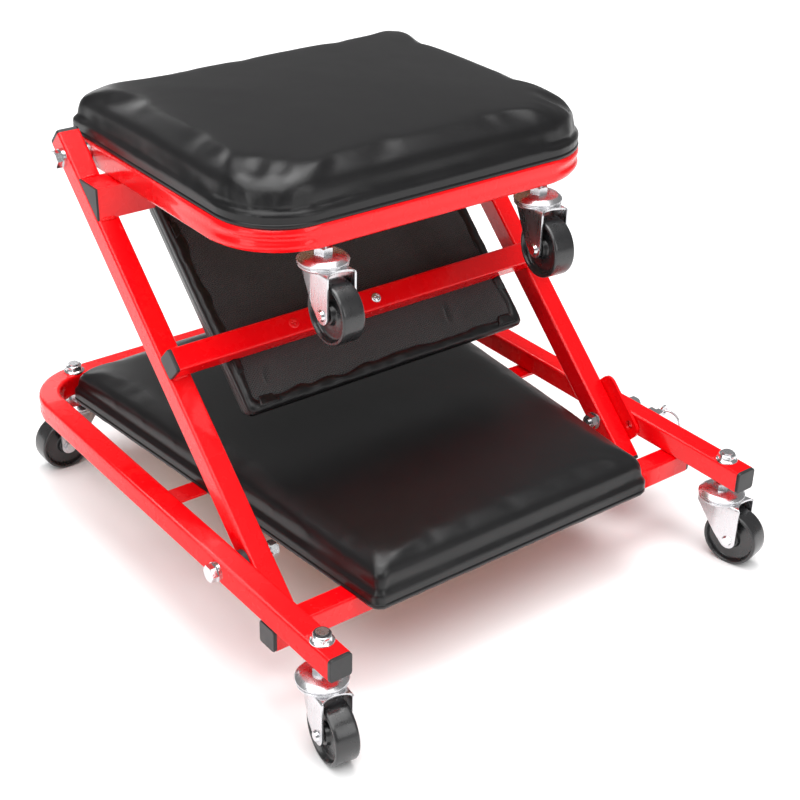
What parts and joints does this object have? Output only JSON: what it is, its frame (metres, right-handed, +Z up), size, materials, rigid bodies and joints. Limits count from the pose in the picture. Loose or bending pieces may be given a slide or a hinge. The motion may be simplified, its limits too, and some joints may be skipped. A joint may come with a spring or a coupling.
{
  "type": "mechanics creeper",
  "caption": "Folding mechanics creeper that is also a rolling seat: padded panels on hinged square-tube frames with swivel casters.",
  "frame": {"origin": "on the floor, on the centre plane, midway along the creeper as a seat", "axes": "+X towards the open ends of the lower frame, +Y to the side with the lock pin, +Z up"},
  "size_m": [0.5294, 0.4882, 0.3826],
  "materials": {
    "red_paint": "gloss enamel",
    "black_plastic": "satin moulded plastic",
    "vinyl": "satin synthetic leather",
    "plywood": "raw plywood",
    "mesh_cloth": "woven non-slip cloth",
    "wheel_plastic": "gloss solid plastic",
    "nylon": "nylon",
    "zinc_plate": "bright zinc plate",
    "chrome_plate": "bright plate"
  },
  "bodies": {
    "lower_frame": {"caster_front_left_stem": "zinc_plate", "caster_front_right_stem": "zinc_plate", "caster_rear_left_stem": "zinc_plate", "caster_rear_right_stem": "zinc_plate", "lock_barrel": "chrome_plate", "lower_arm_end_caps": "black_plastic", "lower_caster_nuts": "chrome_plate", "lower_crossbar_end_caps": "black_plastic", "lower_cushion": "vinyl", "lower_cushion_board": "plywood", "lower_cushion_screws": "chrome_plate", "lower_frame_tube": "red_paint", "lower_front_crossbar": "red_paint", "lower_pivot_bolts": "chrome_plate", "lower_pivot_nuts": "chrome_plate", "lower_pivot_spacer": "nylon", "lower_pivot_washers": "chrome_plate", "lower_rear_crossbar": "red_paint"},
    "rails": {"lock_plate": "red_paint", "middle_crossbar": "red_paint", "middle_crossbar_end_caps": "black_plastic", "middle_cushion": "vinyl", "middle_cushion_board": "plywood", "middle_cushion_screws": "chrome_plate", "middle_dust_cover": "mesh_cloth", "rail_end_caps": "black_plastic", "rail_left": "red_paint", "rail_right": "red_paint", "seat_rest_bar": "red_paint", "seat_rest_bar_plugs": "black_plastic", "upper_pivot_bolts": "chrome_plate", "upper_pivot_nuts": "chrome_plate", "upper_pivot_washers": "chrome_plate"},
    "seat": {"caster_seat_left_stem": "zinc_plate", "caster_seat_right_stem": "zinc_plate", "seat_arm_end_caps": "black_plastic", "seat_cushion": "vinyl", "seat_cushion_board": "plywood", "seat_cushion_screws": "chrome_plate", "seat_frame_tube": "red_paint"},
    "front_left_fork": {"caster_front_left_axle": "chrome_plate", "caster_front_left_fork": "zinc_plate"},
    "front_left_wheel": {"caster_front_left_wheel": "wheel_plastic"},
    "front_right_fork": {"caster_front_right_axle": "chrome_plate", "caster_front_right_fork": "zinc_plate"},
    "front_right_wheel": {"caster_front_right_wheel": "wheel_plastic"},
    "rear_left_fork": {"caster_rear_left_axle": "chrome_plate", "caster_rear_left_fork": "zinc_plate"},
    "rear_left_wheel": {"caster_rear_left_wheel": "wheel_plastic"},
    "rear_right_fork": {"caster_rear_right_axle": "chrome_plate", "caster_rear_right_fork": "zinc_plate"},
    "rear_right_wheel": {"caster_rear_right_wheel": "wheel_plastic"},
    "seat_left_fork": {"caster_seat_left_axle": "chrome_plate", "caster_seat_left_fork": "zinc_plate"},
    "seat_left_wheel": {"caster_seat_left_wheel": "wheel_plastic"},
    "seat_right_fork": {"caster_seat_right_axle": "chrome_plate", "caster_seat_right_fork": "zinc_plate"},
    "seat_right_wheel": {"caster_seat_right_wheel": "wheel_plastic"},
    "lock_pin": {"lock_pin": "chrome_plate"},
    "pull_ring": {"lock_pull_ring": "chrome_plate"}
  },
  "joints": [
    {"name": "lower_fold", "type": "hinge", "parent": "lower_frame", "child": "rails", "pos_m": [0.0943, 0, 0.0858], "axis": [0, 1, 0], "range_deg": [0, 136.5]},
    {"name": "upper_fold", "type": "hinge", "parent": "rails", "child": "seat", "pos_m": [-0.16977, 0, 0.3356], "axis": [0, 1, 0], "range_deg": [-136.5, 0]},
    {"name": "lock_pin_pull", "type": "slide", "parent": "lower_frame", "child": "lock_pin", "axis": [0, 1, 0], "range_m": [0, 0.008], "stiffness_N_per_m": 600},
    {"name": "pull_ring_swing", "type": "hinge", "parent": "lock_pin", "child": "pull_ring", "pos_m": [0.1183, 0.2448, 0.0854], "axis": [0.766, 0.6428, 0], "range_deg": [0, 80]},
    {"name": "front_left_swivel", "type": "hinge", "parent": "lower_frame", "child": "front_left_fork", "pos_m": [0.2218, -0.2133, 0.0754], "axis": [0, 0, 1], "continuous": true},
    {"name": "front_left_roll", "type": "hinge", "parent": "front_left_fork", "child": "front_left_wheel", "pos_m": [0.23923, -0.21575, 0.025], "axis": [0.1392, 0.9903, 0], "continuous": true},
    {"name": "front_right_swivel", "type": "hinge", "parent": "lower_frame", "child": "front_right_fork", "pos_m": [0.2218, 0.2133, 0.0754], "axis": [0, 0, 1], "continuous": true},
    {"name": "front_right_roll", "type": "hinge", "parent": "front_right_fork", "child": "front_right_wheel", "pos_m": [0.23895, 0.21726, 0.025], "axis": [-0.225, 0.9744, 0], "continuous": true},
    {"name": "rear_left_swivel", "type": "hinge", "parent": "lower_frame", "child": "rear_left_fork", "pos_m": [-0.2457, -0.172, 0.0754], "axis": [0, 0, 1], "continuous": true},
    {"name": "rear_left_roll", "type": "hinge", "parent": "rear_left_fork", "child": "rear_left_wheel", "pos_m": [-0.2457, -0.1896, 0.025], "axis": [1, 0, 0], "continuous": true},
    {"name": "rear_right_swivel", "type": "hinge", "parent": "lower_frame", "child": "rear_right_fork", "pos_m": [-0.2457, 0.172, 0.0754], "axis": [0, 0, 1], "continuous": true},
    {"name": "rear_right_roll", "type": "hinge", "parent": "rear_right_fork", "child": "rear_right_wheel", "pos_m": [-0.24325, 0.18943, 0.025], "axis": [-0.9903, 0.1392, 0], "continuous": true},
    {"name": "seat_left_swivel", "type": "hinge", "parent": "seat", "child": "seat_left_fork", "pos_m": [0.07273, -0.1081, 0.3256], "axis": [0, 0, 1], "continuous": true},
    {"name": "seat_left_roll", "type": "hinge", "parent": "seat_left_fork", "child": "seat_left_wheel", "pos_m": [0.09033, -0.10841, 0.2752], "axis": [0.0175, 0.9998, 0], "continuous": true},
    {"name": "seat_right_swivel", "type": "hinge", "parent": "seat", "child": "seat_right_fork", "pos_m": [0.07273, 0.1081, 0.3256], "axis": [0, 0, 1], "continuous": true},
    {"name": "seat_right_roll", "type": "hinge", "parent": "seat_right_fork", "child": "seat_right_wheel", "pos_m": [0.09024, 0.10626, 0.2752], "axis": [0.1045, 0.9945, 0], "continuous": true}
  ]
}
